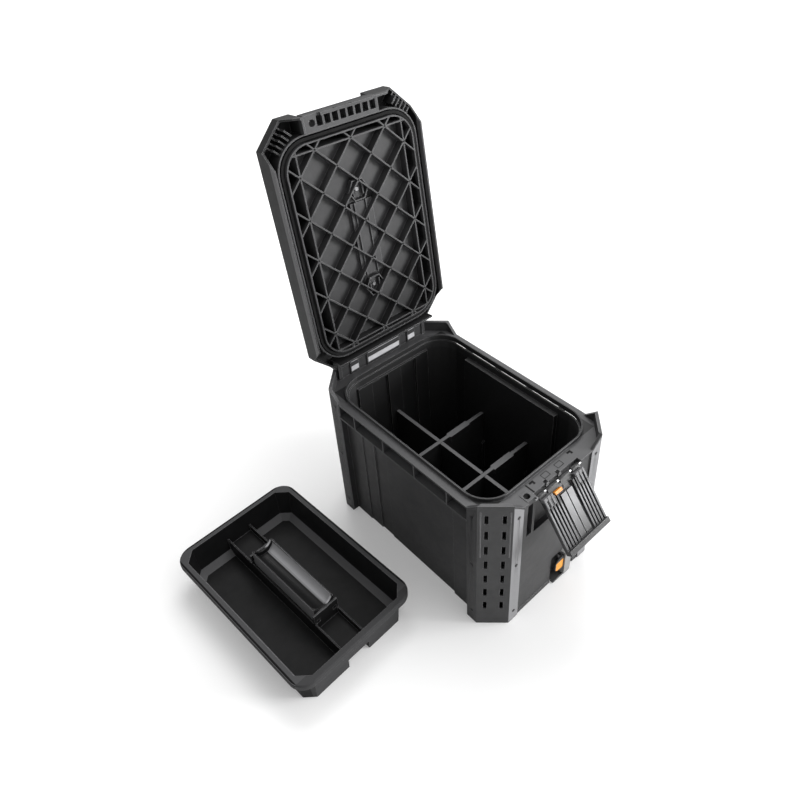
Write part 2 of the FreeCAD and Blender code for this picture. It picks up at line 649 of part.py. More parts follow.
def lid_catch_bar():
    """Front bar of the lid, with its pockets, padlock hole and tooth windows."""
    bar = block(*CATCH_X, -CATCH_FRONT, -CATCH_BACK, CATCH_LOW_Z, CATCH_TOP_Z)
    skirt = block(-CATCH_SKIRT_HALF, CATCH_SKIRT_HALF, -CATCH_FRONT, POCKET_Y[0], CATCH_SKIRT_Z, CATCH_TOP_Z)
    tools = [Part.makeCylinder(EYE_R, CATCH_TOP_Z - CATCH_LOW_Z, V(EYE_X, EYE_Y, CATCH_LOW_Z))]
    for index in range(POCKETS):
        x = (index - (POCKETS - 1) / 2) * POCKET_PITCH
        tools.append(block(x - POCKET_W / 2, x + POCKET_W / 2, *POCKET_Y, CATCH_SKIRT_Z, POCKET_ROOF_Z))
    half = TOOTH_W / 2 + TOOTH_PLAY
    for x in TOOTH_X:
        tools.append(block(x - half, x + half, -DEPTH, POCKET_Y[1], TOOTH_NOSE_Z - TOOTH_PLAY,
                           TOOTH_TOP_Z + TOOTH_PLAY))
    return fuse([bar, skirt]).cut(tools)


def hexagon(x, y, radius, z0, z1):
    """Upright hexagonal pad."""
    corners = [math.radians(60 * k) for k in range(6)]
    return prism([(x + radius * math.cos(a), y + radius * math.sin(a)) for a in corners], z0, z1)


def ear_envelope(sx, sy):
    """Room that the lid leaves for one ear of the box."""
    room = guard_band(-SKIN, SKIN + GUARD_T + SKIN + EAR_GAP, DECK_Z - SKIN, EAR_Z + EAR_GAP, sx, sy)
    return room.cut(over_slopes(DECK_Z + EAR_GAP, EAR_Z + EAR_GAP, sx, sy))


def lid_moulding():
    """Skirt, top, sealing ring, ribs and handle well, before the hinge and catch are let in."""
    roof = LID_TOP_Z - SKIN / 2
    plan = octagon(WIDTH / 2, DEPTH / 2, CHAMFER)
    inner_plan = octagon(WIDTH / 2 - SKIN, DEPTH / 2 - SKIN, CHAMFER - SKIN * (2 - ROOT2))
    outside = prism(plan, LID_LOW_Z, LID_TOP_Z)
    inside = prism(inner_plan, LID_LOW_Z, LID_TOP_Z - SKIN)
    edge = GROOVE_HALF + RIB
    ring_outer = rounded(LIP_HALF_X + edge, LIP_HALF_Y + edge, LIP_RADIUS + edge, LID_LOW_Z, LID_TOP_Z)
    room = rounded(LIP_HALF_X - edge, LIP_HALF_Y - edge, LIP_RADIUS - edge, LID_LOW_Z, LID_TOP_Z)
    line = (LIP_HALF_X, LIP_HALF_Y, LIP_RADIUS)
    pieces = [outside.cut(inside)]
    pieces.append(ring(*line, -edge, -GROOVE_HALF, LID_RIB_Z, roof))
    pieces.append(ring(*line, GROOVE_HALF, edge, GROOVE_OUTER_Z, roof))
    pieces.append(ring(*line, RIB / 2 - edge, edge - RIB / 2, GROOVE_ROOF_Z, GROOVE_ROOF_Z + SKIN))
    pieces += lid_lattice(room)
    pieces += lid_combs(outside, ring_outer)
    well_x, well_y = WELL_HALF_X + SKIN, WELL_HALF_Y + SKIN
    pieces.append(block(-well_x, well_x, CELL_MID_Y - well_y, CELL_MID_Y + well_y,
                        WELL_FLOOR_Z - SKIN, LID_TOP_Z))
    trough_y, trough_z = TROUGH_HALF_Y + SKIN, WELL_FLOOR_Z - TROUGH_DEPTH - SKIN
    pieces.append(block(TROUGH_X[0] - SKIN, TROUGH_X[1] + SKIN, HANDLE_Y - trough_y, HANDLE_Y + trough_y,
                        trough_z, WELL_FLOOR_Z))
    pieces += [hexagon(0, y, PAD_R, PAD_LOW_Z, WELL_FLOOR_Z - SKIN / 2) for y in PAD_Y]
    return fuse(pieces)


def handle_lugs():
    """Two lugs on the well's floor, at the ends of the carry handle."""
    lugs = []
    for side in (-1, 1):
        near = HANDLE_Y + side * (HANDLE_HALF_Y + HANDLE_LUG_GAP)
        lugs.append(block(HANDLE_X - HANDLE_LUG_HALF, HANDLE_X + HANDLE_LUG_HALF, near,
                          near + side * HANDLE_LUG_T, WELL_FLOOR_Z - SKIN / 2, HANDLE_Z + HANDLE_LUG_HALF))
    return lugs


def lid_shell():
    """Lid moulding, drawn closed."""
    over = LID_TOP_Z + SKIN
    tools = [block(-REAR_HALF, REAR_HALF, LID_REAR_Y, DEPTH, LID_LOW_Z - SKIN, over)]
    tools.append(block(*CATCH_X, -DEPTH, -RELIEF_Y, LID_LOW_Z - SKIN, over))
    tools.append(block(*CATCH_X, -DEPTH, -CATCH_BACK, LID_LOW_Z - SKIN, CATCH_TOP_Z))
    tools += [ear_envelope(sx, sy) for sx, sy in CORNERS.values()]
    more = [block(-REAR_HALF - SKIN, REAR_HALF + SKIN, LID_REAR_Y - SKIN, LID_REAR_Y, LID_LOW_Z, LID_TOP_Z)]
    more.append(block(CATCH_X[0] - SKIN, CATCH_X[1] + SKIN, -RELIEF_Y, SKIN - RELIEF_Y,
                      CATCH_TOP_Z, LID_TOP_Z))
    for side in (-1, 1):
        more.append(block(side * REAR_HALF, side * (REAR_HALF + SKIN), LID_REAR_Y - SKIN, DEPTH / 2,
                          EAR_Z + EAR_GAP, LID_TOP_Z))
    for x, side in zip(CATCH_X, (-1, 1)):
        more.append(block(x, x + side * SKIN, -DEPTH / 2, -CATCH_BACK, LID_LOW_Z, LID_TOP_Z))
    for x in ARM_X:
        more.append(rod(x - ARM_HALF, x + ARM_HALF, HINGE_Y, HINGE_Z, BARREL_R))
        more.append(block(x - ARM_HALF, x + ARM_HALF, LID_REAR_Y - SKIN, HINGE_Y,
                          HINGE_Z - BARREL_R, HINGE_Z + BARREL_R))
    whole = fuse([lid_moulding().cut(tools)] + more)
    well = block(-WELL_HALF_X, WELL_HALF_X, CELL_MID_Y - WELL_HALF_Y, CELL_MID_Y + WELL_HALF_Y,
                 WELL_FLOOR_Z, over)
    trough = block(*TROUGH_X, HANDLE_Y - TROUGH_HALF_Y, HANDLE_Y + TROUGH_HALF_Y,
                   WELL_FLOOR_Z - TROUGH_DEPTH, over)
    whole = fuse([whole.cut([well, trough])] + handle_lugs())
    holes = [rod(-ROD_END_X, ROD_END_X, HINGE_Y, HINGE_Z, ROD_R + FIT)]
    pin_half = HANDLE_HALF_Y + HANDLE_LUG_GAP + PIN_BITE
    pin_start = V(HANDLE_X, HANDLE_Y - pin_half, HANDLE_Z)
    holes.append(Part.makeCylinder(HANDLE_PIN_R + FIT, 2 * pin_half, pin_start, V(0, 1, 0)))
    holes += [Part.makeCylinder(PAD_SHANK_R + SCREW_CLEAR, PAD_SHANK, V(0, y, PAD_LOW_Z)) for y in PAD_Y]
    return whole.cut(holes)


def lid_seal():
    """Rubber seal in the lid's groove."""
    return ring(LIP_HALF_X, LIP_HALF_Y, LIP_RADIUS, -SEAL_HALF, SEAL_HALF, SEAL_LOW_Z, GROOVE_ROOF_Z)


def carry_handle():
    """Folding bail, drawn lying down."""
    half = HANDLE_BAR / 2
    end = HANDLE_HALF_Y - 2 * HANDLE_BAR
    outer = block(HANDLE_X - half, HANDLE_X + HANDLE_REACH + half, HANDLE_Y - HANDLE_HALF_Y,
                  HANDLE_Y + HANDLE_HALF_Y, HANDLE_Z - half, HANDLE_Z + half)
    gap = block(HANDLE_X - HANDLE_BAR, HANDLE_X + HANDLE_REACH - half, HANDLE_Y - end, HANDLE_Y + end,
                HANDLE_Z - HANDLE_BAR, HANDLE_Z + HANDLE_BAR)
    start = V(HANDLE_X, HANDLE_Y - HANDLE_HALF_Y, HANDLE_Z)
    eyes = Part.makeCylinder(HANDLE_PIN_R + FIT, 2 * HANDLE_HALF_Y, start, V(0, 1, 0))
    return outer.cut([gap, eyes])


def handle_pins():
    """Two pivot pins, from the lugs into the bail's arms."""
    length = HANDLE_LUG_GAP + PIN_BITE + HANDLE_BAR
    far = HANDLE_HALF_Y + HANDLE_LUG_GAP + PIN_BITE
    pins = []
    for side in (-1, 1):
        start = V(HANDLE_X, HANDLE_Y + side * far, HANDLE_Z)
        pins.append(Part.makeCylinder(HANDLE_PIN_R, length, start, V(0, -side, 0)))
    return Part.makeCompound(pins)


def handle_screws():
    """Screws in the two end pads under the handle; the middle pad is only bored."""
    screws = []
    for y in (PAD_Y[0], PAD_Y[-1]):
        head = Part.makeCylinder(PAD_SCREW_R, PAD_SCREW_T, V(0, y, PAD_LOW_Z), V(0, 0, -1))
        shank = Part.makeCylinder(PAD_SHANK_R, PAD_SHANK - PAD_SCREW_T, V(0, y, PAD_LOW_Z))
        screws.append(fuse([head, shank]))
    return Part.makeCompound(screws)


def swing_latch(shape):
    """Swing something drawn with the latch closed out to where it hangs open."""
    shape.rotate(V(0, LATCH_Y, LATCH_Z), V(1, 0, 0), -LATCH_OUT)
    return shape


def latch_flap():
    """Latch flap with knuckles, ribs, finger lip and hooked teeth, drawn closed."""
    top = LATCH_Z - LATCH_BARREL_R
    plate = [(LATCH_BACK_Y, LATCH_END_Z), (LATCH_BACK_Y, top), (LATCH_TOP_FACE_Y, top),
             (LATCH_END_FACE_Y, LATCH_END_Z)]
    pieces = [side_prism(plate, -LATCH_HALF, LATCH_HALF)]
    for x in LATCH_RIB_X:
        for side in (-1, 1):
            low = side * x - LATCH_RIB_T / 2
            pieces.append(block(low, low + LATCH_RIB_T, LATCH_BACK_Y, LATCH_RIB_Y, *LATCH_RIB_Z))
    for side in (-1, 1):
        pieces.append(block(side * LATCH_PAD_X[0], side * LATCH_PAD_X[1], LATCH_BACK_Y, LATCH_PAD_Y,
                            *LATCH_PAD_Z))
    pieces.append(block(-LATCH_HALF, LATCH_HALF, LATCH_BACK_Y, LATCH_LIP_Y, LATCH_END_Z, LATCH_LIP_Z))
    teeth = [(x - TOOTH_W / 2, x + TOOTH_W / 2) for x in TOOTH_X]
    for x0, x1 in list(KNUCKLES) + teeth:
        pieces.append(rod(x0, x1, LATCH_Y, LATCH_Z, LATCH_BARREL_R))
        pieces.append(block(x0, x1, LATCH_TOP_FACE_Y, LATCH_Y, top - SKIN, LATCH_Z))
    for x0, x1 in teeth:
        pieces.append(block(x0, x1, *TOOTH_Y, LATCH_Z, TOOTH_TOP_Z))
        pieces.append(block(x0, x1, TOOTH_NOSE_Y, TOOTH_Y[1], TOOTH_NOSE_Z, TOOTH_TOP_Z))
    tools = [rod(-LATCH_HALF, LATCH_HALF, LATCH_Y, LATCH_Z, LATCH_PIN_R + FIT)]
    tools.append(block(LOCK_X[0] - LOCK_CLEAR, LOCK_X[1] + LOCK_TRAVEL + LOCK_CLEAR, LATCH_RIB_Y,
                       LOCK_Y[1] + LOCK_CLEAR, LOCK_Z[0] - LOCK_CLEAR, LOCK_Z[1] + LOCK_CLEAR))
    return fuse(pieces).cut(tools)


def latch_lock():
    """Orange slide on the flap, drawn closed."""
    return block(*LOCK_X, *LOCK_Y, *LOCK_Z)


def stack_lock_lever():
    """Grey lever hung from a pin near its top."""
    bar = block(*LEVER_X, *LEVER_Y, *LEVER_Z)
    barrel = rod(*LEVER_X, LEVER_PIN_Y, LEVER_PIN_Z, LEVER_BARREL_R)
    return fuse([bar, barrel]).cut(rod(*LEVER_X, LEVER_PIN_Y, LEVER_PIN_Z, LEVER_PIN_R + FIT))


def stack_lock_tab():
    """Orange plate fixed to the lever's side, rounded on its free edge."""
    plate = block(TAB_LEFT_X, LEVER_X[0], *TAB_Y, *TAB_Z)
    free = [e for e in plate.Edges if all(abs(v.X - TAB_LEFT_X) < SCREW_CLEAR for v in e.Vertexes)
            and abs(e.Vertexes[0].Y - e.Vertexes[-1].Y) > SCREW_CLEAR]
    return plate.makeFillet(TAB_ROUND, free)


def stack_lock_spring():
    """Leaf spring behind the lever."""
    x = (LEVER_X[0] + LEVER_X[1]) / 2
    back, tip = -STACK_RECESS_Y, LEVER_Y[1] + STACK_CLEAR
    low, high = LEAF_Z
    profile = [(back, low - SKIN), (back, low + SKIN), (tip + LEAF_T, high), (tip, high),
               (back - LEAF_T, low - SKIN)]
    return side_prism(profile, x - LEAF_HALF, x + LEAF_HALF)


def place_tray(shape):
    """Set something drawn about the tray's own centre down beside the box."""
    shape.rotate(V(0, 0, 0), V(0, 0, 1), TRAY_TURN)
    shape.translate(V(TRAY_X, TRAY_Y, 0))
    return shape


def grown(sizes, by):
    """Octagon sizes offset outwards."""
    return sizes[0] + by, sizes[1] + by, sizes[2] + by * (2 - ROOT2)


def grip_tab(u, side, grow):
    """Clip at one end of the grip or, with some growth, the notch it sits in."""
    x = u * (GRIP_HALF_X - GRIP_TAB / 2)
    y0, y1 = side * (PIER_Y - GRIP_END_T / 2), side * (PIER_Y + PIER_T + grow)
    low = GRIP_LOW_Z + GRIP_TAB / 2
    return block(x - GRIP_TAB / 2 - grow, x + GRIP_TAB / 2 + grow, y0, y1, low - grow, low + GRIP_TAB + grow)


def tray_tub():
    """Tray moulding: tapered bin, rolled rim, raised middle channel and the piers of the grip."""
    shelf = TRAY_FLOOR + FLOOR_BEVEL
    part_way = shelf / TRAY_TOP_Z
    middle = tuple(b + (m - b) * part_way for b, m in zip(grown(BASE, -TRAY_WALL), MOUTH))
    body = loft(BASE, 0, grown(MOUTH, TRAY_WALL), TRAY_TOP_Z)
    rim = rounded(RIM_HALF_X, RIM_HALF_Y, RIM_RADIUS, RIM_LOW_Z, TRAY_TOP_Z)
    top_edges = [e for e in rim.Edges if all(abs(v.Z - TRAY_TOP_Z) < SCREW_CLEAR for v in e.Vertexes)]
    rim = rim.makeFillet(RIM_ROUND, top_edges)
    rim = rim.cut(rounded(RIM_HALF_X - TRAY_WALL, RIM_HALF_Y - TRAY_WALL, RIM_RADIUS - TRAY_WALL, RIM_LOW_Z,
                          TRAY_TOP_Z - TRAY_WALL))
    bevel = loft(grown(middle, -FLOOR_BEVEL), TRAY_FLOOR, middle, shelf)
    tub = fuse([body, rim]).cut([bevel, loft(middle, shelf, MOUTH, TRAY_TOP_Z)])
    tunnel = CHANNEL_HALF - TRAY_WALL
    inner = [block(-CHANNEL_HALF, CHANNEL_HALF, -BASE[1], BASE[1], 0, CHANNEL_Z)]
    for side in (-1, 1):
        inner.append(block(side * CHANNEL_HALF, side * tunnel, -BASE[1], BASE[1], 0, RAIL_Z))
        inner.append(block(-CHANNEL_HALF, CHANNEL_HALF, side * PIER_Y, side * (PIER_Y + PIER_T), 0, PIER_Z))
    tub = fuse([tub] + [piece.common(body) for piece in inner])
    tools = [block(-tunnel, tunnel, -DEPTH, DEPTH, -SKIN, CHANNEL_Z - TRAY_WALL)]
    for side in (-1, 1):
        scoop = V(0, side * PIER_Y, GRIP_SCOOP_Z)
        tools.append(Part.makeCylinder(GRIP_HOLLOW_R, PIER_T, scoop, V(0, side, 0)))
        tools += [grip_tab(u, side, GRIP_CLEAR) for u in (-1, 1)]
    return tub.cut(tools)


def tray_grip():
    """Trough-shaped grip with closed, scooped ends and four clips."""
    end = PIER_Y - GRIP_CLEAR
    bar = block(-GRIP_HALF_X, GRIP_HALF_X, -end, end, GRIP_LOW_Z, GRIP_TOP_Z)
    inner = end - GRIP_END_T
    hollow = Part.makeCylinder(GRIP_HOLLOW_R, 2 * inner, V(0, -inner, GRIP_HOLLOW_Z), V(0, 1, 0))
    scoop = Part.makeCylinder(GRIP_HOLLOW_R, 2 * PIER_Y, V(0, -PIER_Y, GRIP_SCOOP_Z), V(0, 1, 0))
    tabs = [grip_tab(u, side, 0) for u in (-1, 1) for side in (-1, 1)]
    return fuse([bar.cut([hollow, scoop])] + tabs)


os.makedirs("parts", exist_ok=True)
write("box_shell", box_shell())
for corner, signs in CORNERS.items():
    write("corner_guard_" + corner, corner_guard(*signs))
write("guard_screws", guard_screws())
write("hinge_rod", rod(-ROD_END_X, ROD_END_X, HINGE_Y, HINGE_Z, ROD_R))
write("padlock_plate", padlock_plate())
write("long_divider", long_divider())
for place, middle_y in CROSS_Y.items():
    write("cross_divider_" + place, cross_divider(middle_y))
write("lid_shell", open_lid(lid_shell()))
write("lid_catch_bar", open_lid(lid_catch_bar()))
write("lid_seal", open_lid(lid_seal()))
write("carry_handle", open_lid(carry_handle()))
write("handle_pins", open_lid(handle_pins()))
write("handle_screws", open_lid(handle_screws()))
write("latch_pin", rod(-LATCH_PIN_END, LATCH_PIN_END, LATCH_Y, LATCH_Z, LATCH_PIN_R))
write("latch_flap", swing_latch(latch_flap()))
write("latch_lock", swing_latch(latch_lock()))
write("stack_lock_pin", rod(LEVER_X[0] - SKIN, LEVER_X[1] + SKIN, LEVER_PIN_Y, LEVER_PIN_Z, LEVER_PIN_R))
write("stack_lock_lever", stack_lock_lever())
write("stack_lock_tab", stack_lock_tab())
write("stack_lock_spring", stack_lock_spring())
write("tray_tub", place_tray(tray_tub()))
write("tray_grip", place_tray(tray_grip()))
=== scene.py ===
"""Looks of the stackable tool box: materials, rounded edges, small moulded details, light and camera.

Metres, in the model's own frame: X is the width, the latch faces -Y, Z is up and the floor is z = 0.
"""
import math
import bpy
import bmesh
from mathutils import Matrix, Vector


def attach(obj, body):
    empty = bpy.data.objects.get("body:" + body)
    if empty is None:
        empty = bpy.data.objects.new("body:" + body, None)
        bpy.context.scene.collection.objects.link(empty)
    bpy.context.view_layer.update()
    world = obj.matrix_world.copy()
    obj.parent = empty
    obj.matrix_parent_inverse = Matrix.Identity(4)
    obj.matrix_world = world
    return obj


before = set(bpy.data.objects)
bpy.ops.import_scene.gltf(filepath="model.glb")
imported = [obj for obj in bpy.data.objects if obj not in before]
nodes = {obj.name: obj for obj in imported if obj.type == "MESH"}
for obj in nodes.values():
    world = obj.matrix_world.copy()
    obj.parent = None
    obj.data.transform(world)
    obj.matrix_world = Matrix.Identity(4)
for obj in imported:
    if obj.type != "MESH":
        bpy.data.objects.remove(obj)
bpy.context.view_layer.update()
scene = bpy.context.scene
MM = 0.001

# Places and turns of the moving bodies at rest

LID_PIVOT = (0.0, 0.19555, 0.284)
LID_OPEN = math.radians(97.68)
LID_BACK = (0.0, math.cos(LID_OPEN), -math.sin(LID_OPEN))
LID_DEEP = (0.0, math.sin(LID_OPEN), math.cos(LID_OPEN))
LATCH_PIVOT = (0.0, -0.197, 0.249)
LATCH_OPEN = math.radians(38.0)
LATCH_DOWN = (0.0, -math.sin(LATCH_OPEN), -math.cos(LATCH_OPEN))
LATCH_OUT = (0.0, -math.cos(LATCH_OPEN), math.sin(LATCH_OPEN))
TRAY_MIDDLE = (-0.3011, 0.068, 0.0)
TRAY_TURN = math.radians(3.34)
TRAY_ACROSS = (math.cos(TRAY_TURN), math.sin(TRAY_TURN), 0.0)
TRAY_ALONG = (-math.sin(TRAY_TURN), math.cos(TRAY_TURN), 0.0)
ACROSS = (1.0, 0.0, 0.0)
ALONG = (0.0, 1.0, 0.0)
UP = (0.0, 0.0, 1.0)

# Where the painted light and shade and the other tones of the mouldings change, in metres

TUB_HALF = (0.1119, 0.1669)
LIP_HALF = (0.1165, 0.1702)
MOUTH_HEIGHT = 0.2395
TOP_FADE = 0.004
LATTICE_ACROSS = (-0.0936, 0.0936)
LATTICE_BACK = (-0.3506, -0.0363)
LID_GAP_DEPTH = (-0.0178, 0.0085)
LID_REAR_FADE = (-0.17, -0.05)
LID_SIDE = 0.119
FLAP_MIDDLE = 0.0145
FLAP_TOP_FADE = (0.029, 0.022)
FLAP_LIP_FADE = (0.0868, 0.0872)
FLAP_LOW_FADE = (0.035, 0.085)
FLAP_HOLLOW_FADE = (0.0078, 0.0068)
FIN_HALF_PITCH = 0.003
FIN_FADE = (0.0007, 0.001)
FIN_END_FADE = (0.08, 0.04)
RIM_FLAT_HALF = (0.1028, 0.1583)
TRAY_FRONT = -0.1465
TAB_ORANGE_ACROSS = (0.0112, 0.0285)
TAB_ORANGE_HEIGHT = (0.0262, 0.0475)

# Node helpers


def new_material(name):
    """Empty node material with its Principled shader."""
    material = bpy.data.materials.new(name)
    material.use_nodes = True
    tree = material.node_tree
    return material, tree, tree.nodes["Principled BSDF"]


def link(tree, source, target):
    tree.links.new(source, target)


def own_coords(tree, output="Object"):
    """The object's own coordinates or normal."""
    return tree.nodes.new("ShaderNodeTexCoord").outputs[output]


def noise(tree, coords, scale, detail, roughness=0.5):
    """Noise in the object's own coordinates."""
    node = tree.nodes.new("ShaderNodeTexNoise")
    node.inputs["Scale"].default_value = scale
    node.inputs["Detail"].default_value = detail
    node.inputs["Roughness"].default_value = roughness
    link(tree, coords, node.inputs["Vector"])
    return node.outputs["Fac"]


def ramp(tree, value, low, high, dark, light):
    """Maps a value between two limits onto two colours."""
    node = tree.nodes.new("ShaderNodeValToRGB")
    node.color_ramp.elements[0].position = low
    node.color_ramp.elements[1].position = high
    node.color_ramp.elements[0].color = (*dark, 1)
    node.color_ramp.elements[1].color = (*light, 1)
    link(tree, value, node.inputs["Fac"])
    return node.outputs["Color"]


def mapped(tree, value, low, high):
    """Stretches a 0 to 1 value over a range."""
    node = tree.nodes.new("ShaderNodeMapRange")
    node.inputs["To Min"].default_value = low
    node.inputs["To Max"].default_value = high
    link(tree, value, node.inputs["Value"])
    return node.outputs["Result"]


def between(tree, value, start, end):
    """0 up to one limit and 1 past another, in either direction."""
    node = tree.nodes.new("ShaderNodeMapRange")
    node.inputs["From Min"].default_value = start
    node.inputs["From Max"].default_value = end
    link(tree, value, node.inputs["Value"])
    return node.outputs["Result"]


def mixed(tree, factor, under, over):
    """One colour over another, by a factor."""
    mix = tree.nodes.new("ShaderNodeMix")
    mix.data_type = "RGBA"
    link(tree, factor, mix.inputs["Factor"])
    link(tree, under, mix.inputs["A"])
    mix.inputs["B"].default_value = (*over, 1)
    return mix.outputs["Result"]


def combine(tree, operation, first, second):
    """Two values, linked or plain numbers, by one operation."""
    node = tree.nodes.new("ShaderNodeMath")
    node.operation = operation
    for target, value in zip(node.inputs, (first, second)):
        if isinstance(value, float):
            target.default_value = value
        else:
            link(tree, value, target)
    return node.outputs["Value"]


def along(tree, axis, start=(0.0, 0.0, 0.0), output="Object"):
    """How far the object's own point or normal reaches along an axis, from a start."""
    shift = tree.nodes.new("ShaderNodeVectorMath")
    shift.operation = "SUBTRACT"
    link(tree, own_coords(tree, output), shift.inputs[0])
    shift.inputs[1].default_value = start
    dot = tree.nodes.new("ShaderNodeVectorMath")
    dot.operation = "DOT_PRODUCT"
    link(tree, shift.outputs["Vector"], dot.inputs[0])
    dot.inputs[1].default_value = axis
    return dot.outputs["Value"]


def edge_mask(tree, radius):
    """1 along sharp edges and 0 on flat faces, from how far a rounded normal turns."""
    bevel = tree.nodes.new("ShaderNodeBevel")
    bevel.samples = 4
    bevel.inputs["Radius"].default_value = radius
    dot = tree.nodes.new("ShaderNodeVectorMath")
    dot.operation = "DOT_PRODUCT"
    link(tree, bevel.outputs["Normal"], dot.inputs[0])
    link(tree, tree.nodes.new("ShaderNodeNewGeometry").outputs["Normal"], dot.inputs[1])
    return between(tree, dot.outputs["Value"], 0.99, 0.8)


def facing(tree, axis, low=0.6, high=0.95):
    """1 on faces that look along an axis."""
    return between(tree, along(tree, axis, output="Normal"), low, high)


def outside(tree, value, low, high):
    """1 where a value lies outside a range."""
    return combine(tree, "MAXIMUM", combine(tree, "LESS_THAN", value, low),
                   combine(tree, "GREATER_THAN", value, high))


def within_half(tree, half):
    """1 where X and Y both lie within half sizes of the middle."""
    across = outside(tree, along(tree, ACROSS), -half[0], half[0])
    deep = outside(tree, along(tree, ALONG), -half[1], half[1])
    return combine(tree, "SUBTRACT", 1.0, combine(tree, "MAXIMUM", across, deep))


# Masks of the mouldings' painted light and shade and of their other tones


def top_faces(height):
    """Mask of the faces that look up over a height, made paler as painted light from above."""
    def mask(tree):
        over = between(tree, along(tree, UP), height, height + TOP_FADE)
        return combine(tree, "MULTIPLY", facing(tree, UP), over)
    return mask


def front_faces(tree):
    """Mask of the faces that look out of the front or the rear, made paler as painted light."""
    return combine(tree, "MAXIMUM", facing(tree, (0, -1, 0), 0.85, 0.97), facing(tree, (0, 1, 0), 0.85, 0.97))


def inside_tub(tree):
    """Mask of the walls and floor inside the box, darkened as painted shade."""
    low = combine(tree, "LESS_THAN", along(tree, UP), MOUTH_HEIGHT)
    return combine(tree, "MULTIPLY", within_half(tree, TUB_HALF), low)


def lip_slopes(tree):
    """Mask of the band between the box's mouth and the outside of its lip, darkened as painted shade."""
    high = combine(tree, "GREATER_THAN", along(tree, UP), MOUTH_HEIGHT)
    return combine(tree, "MULTIPLY", within_half(tree, LIP_HALF), high)


def lid_gaps(tree):
    """Mask of the deep gaps round the lid's lattice, darkened as painted shade."""
    away = combine(tree, "MAXIMUM", outside(tree, along(tree, ACROSS), *LATTICE_ACROSS),
                   outside(tree, along(tree, LID_BACK, LID_PIVOT), *LATTICE_BACK))
    shallow = outside(tree, along(tree, LID_DEEP, LID_PIVOT), *LID_GAP_DEPTH)
    return combine(tree, "MULTIPLY", away, combine(tree, "SUBTRACT", 1.0, shallow))


def lid_sides(tree):
    """Mask of the lid's outer faces to its left and right, made paler as painted light."""
    away = outside(tree, along(tree, ACROSS), -LID_SIDE, LID_SIDE)
    sides = combine(tree, "MAXIMUM", facing(tree, (-1, 0, 0)), facing(tree, (1, 0, 0)))
    return combine(tree, "MULTIPLY", away, sides)


def lid_rear(tree):
    """Mask that grows towards the lid's hinge, darkened there as painted shade."""
    return between(tree, along(tree, LID_BACK, LID_PIVOT), *LID_REAR_FADE)


def down_flap(tree):
    """How far down the latch flap a point is, from its pin."""
    return along(tree, LATCH_DOWN, LATCH_PIVOT)


def flap_sides(tree):
    """Mask of the latch flap's ribbed sides."""
    return outside(tree, along(tree, ACROSS), -FLAP_MIDDLE, FLAP_MIDDLE)


def flap_low(tree):
    """Mask that grows towards the latch flap's finger lip, darkened there as painted shade."""
    return between(tree, down_flap(tree), *FLAP_LOW_FADE)


def flap_ends(tree):
    """Mask of the latch flap's knuckle end, at its sides, and of its finger lip."""
    top = combine(tree, "MULTIPLY", flap_sides(tree), between(tree, down_flap(tree), *FLAP_TOP_FADE))
    return combine(tree, "MAXIMUM", top, between(tree, down_flap(tree), *FLAP_LIP_FADE))


def flap_hollows(tree):
    """Mask of the latch flap's plate between its ribs and pads, darkened as painted shade."""
    return between(tree, along(tree, LATCH_OUT, LATCH_PIVOT), *FLAP_HOLLOW_FADE)


def fin_flanks(tree):
    """Mask of the flanks of the latch flap's ribs, fading towards the finger lip, darkened as painted shade
    between the ribs.
    """
    off = combine(tree, "PINGPONG", combine(tree, "ABSOLUTE", along(tree, ACROSS), 0.0), FIN_HALF_PITCH)
    flank = combine(tree, "MULTIPLY", flap_sides(tree), between(tree, off, *FIN_FADE))
    return combine(tree, "MULTIPLY", flank, between(tree, down_flap(tree), *FIN_END_FADE))


def tab_surround(tree):
    """Mask of the black border of the stacking lock's tab."""
    return combine(tree, "MAXIMUM", outside(tree, along(tree, ACROSS), *TAB_ORANGE_ACROSS),
                   outside(tree, along(tree, UP), *TAB_ORANGE_HEIGHT))


def rim_outside(tree):
    """Mask of the outer roll of the tray's rim, darkened as painted shade."""
    across, deep = along(tree, TRAY_ACROSS, TRAY_MIDDLE), along(tree, TRAY_ALONG, TRAY_MIDDLE)
    away = combine(tree, "MAXIMUM", outside(tree, across, -RIM_FLAT_HALF[0], RIM_FLAT_HALF[0]),
                   outside(tree, deep, -RIM_FLAT_HALF[1], RIM_FLAT_HALF[1]))
    return combine(tree, "MULTIPLY", away, facing(tree, UP, 0.2, 0.5))


def tray_front(tree):
    """Mask of the outside of the tray's front wall and of its rim there, made paler as painted light."""
    return combine(tree, "LESS_THAN", along(tree, TRAY_ALONG, TRAY_MIDDLE), TRAY_FRONT)


def tray_slopes(tree):
    """Mask of the sloping edges of the tray's floor, made paler as painted light."""
    up = along(tree, UP, output="Normal")
    return combine(tree, "MULTIPLY", between(tree, up, 0.55, 0.62), between(tree, up, 0.9, 0.8))


def trough_side(tree):
    """Mask of the grip's hollow, on the side that looks up and to the left, made paler as a painted highlight.
    """
    return facing(tree, (-0.8, 0.0, 0.6), 0.74, 0.88)


# Materials

EDGE_RADIUS = 0.001
GRAIN_DEPTH = 0.0003


def tone(value):
    """Neutral black of one brightness, a shade cool."""
    return value, value, value * 1.03


